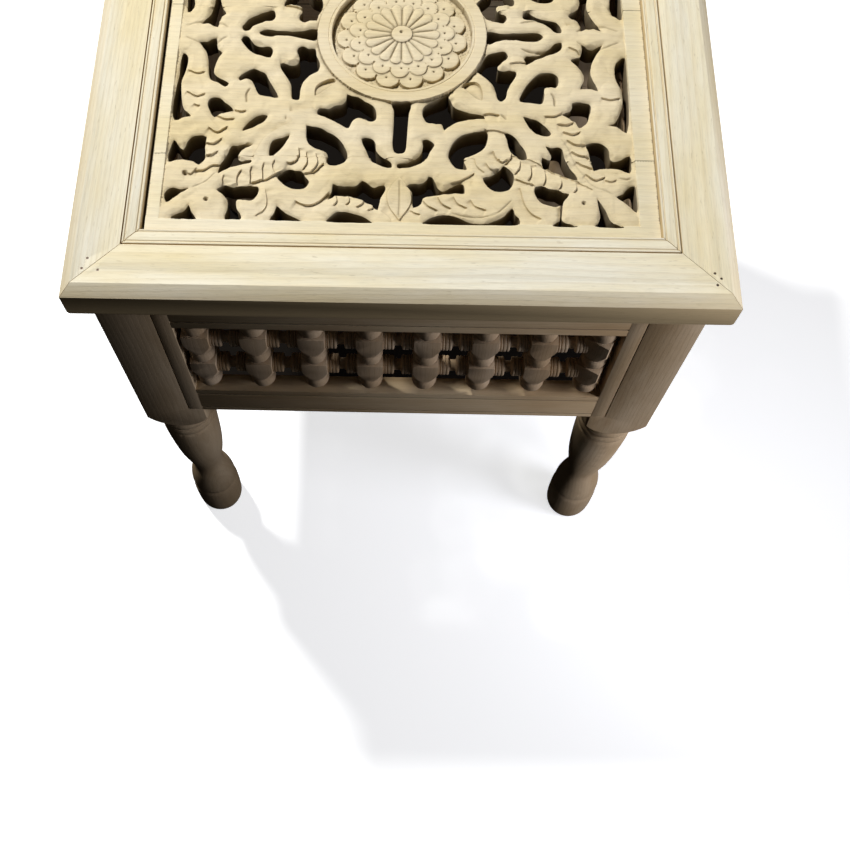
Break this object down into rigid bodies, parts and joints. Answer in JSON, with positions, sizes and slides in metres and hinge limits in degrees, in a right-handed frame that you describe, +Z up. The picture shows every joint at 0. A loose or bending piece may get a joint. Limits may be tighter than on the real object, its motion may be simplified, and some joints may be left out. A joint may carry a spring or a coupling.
{
  "type": "side table",
  "caption": "Square wooden side table with a fret-carved rosette panel in a mitred top frame, lattice sides of turned spindles, and square legs with turned feet.",
  "frame": {"origin": "on the floor under the middle of the square top", "axes": "+Z up, the front side faces -Y, +X to the right seen from the front"},
  "size_m": [0.46, 0.46, 0.51],
  "materials": {
    "top_wood": "bleached, unfinished, lightly sanded",
    "carved_wood": "hand carved and pierced, unfinished",
    "side_wood": "unfinished, planed and turned",
    "turned_wood": "unfinished, turned",
    "inner_wood": "rough sawn",
    "nail_iron": "dull iron wire nails"
  },
  "bodies": {
    "root": {"front_left_leg": "side_wood", "front_right_leg": "side_wood", "back_right_leg": "side_wood", "back_left_leg": "side_wood", "top_board_front": "top_wood", "top_board_right": "top_wood", "top_board_back": "top_wood", "top_board_left": "top_wood", "panel_moulding_front": "top_wood", "panel_moulding_right": "top_wood", "panel_moulding_back": "top_wood", "panel_moulding_left": "top_wood", "panel_board_front": "carved_wood", "panel_board_middle": "carved_wood", "panel_board_back": "carved_wood", "front_upper_rail": "side_wood", "right_upper_rail": "side_wood", "back_upper_rail": "side_wood", "left_upper_rail": "side_wood", "front_lower_rail": "side_wood", "right_lower_rail": "side_wood", "back_lower_rail": "side_wood", "left_lower_rail": "side_wood", "front_left_stile": "side_wood", "front_right_stile": "side_wood", "right_front_stile": "side_wood", "right_back_stile": "side_wood", "back_right_stile": "side_wood", "back_left_stile": "side_wood", "left_back_stile": "side_wood", "left_front_stile": "side_wood", "front_spindle_1": "turned_wood", "front_spindle_2": "turned_wood", "front_spindle_3": "turned_wood", "front_spindle_4": "turned_wood", "front_spindle_5": "turned_wood", "front_spindle_6": "turned_wood", "front_spindle_7": "turned_wood", "front_spindle_8": "turned_wood", "right_spindles": "turned_wood", "back_spindles": "turned_wood", "left_spindles": "turned_wood", "front_upper_reels": "turned_wood", "right_upper_reels": "turned_wood", "back_upper_reels": "turned_wood", "left_upper_reels": "turned_wood", "front_lower_reels": "turned_wood", "right_lower_reels": "turned_wood", "back_lower_reels": "turned_wood", "left_lower_reels": "turned_wood", "glue_blocks": "inner_wood", "top_nails": "nail_iron"}
  },
  "joints": []
}
